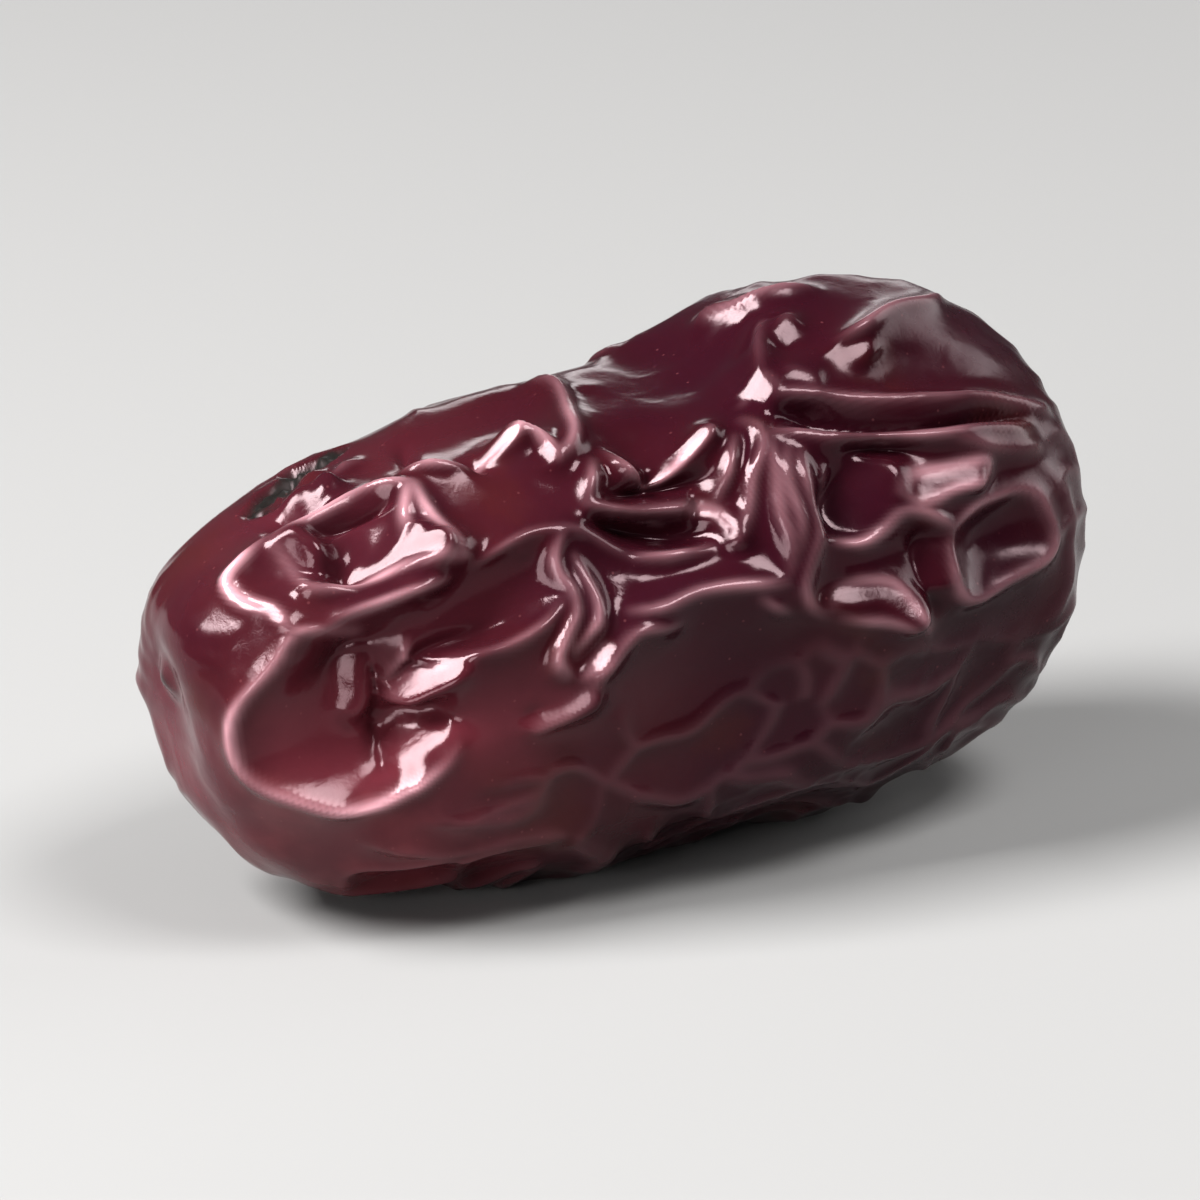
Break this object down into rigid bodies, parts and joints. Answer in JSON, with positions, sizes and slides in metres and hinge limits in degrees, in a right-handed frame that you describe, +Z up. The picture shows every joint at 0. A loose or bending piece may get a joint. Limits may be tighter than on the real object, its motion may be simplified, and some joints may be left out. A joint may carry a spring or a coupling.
{
  "type": "dried jujube",
  "caption": "Whole dried jujube, an oblong wrinkled fruit with a blunt end, a humped stem end and a stalk cavity, lying on its belly.",
  "frame": {"origin": "middle of the fruit's outline seen from above, on the plane that its belly rests on", "axes": "+Z up, +X along the fruit from the blossom end to the stem end, -Y towards its front side"},
  "size_m": [0.0384, 0.0196, 0.0219],
  "materials": {
    "jujube_skin": "glossy, wrinkled, dark wine-red dried fruit skin"
  },
  "bodies": {
    "root": {"jujube": "jujube_skin"}
  },
  "joints": []
}
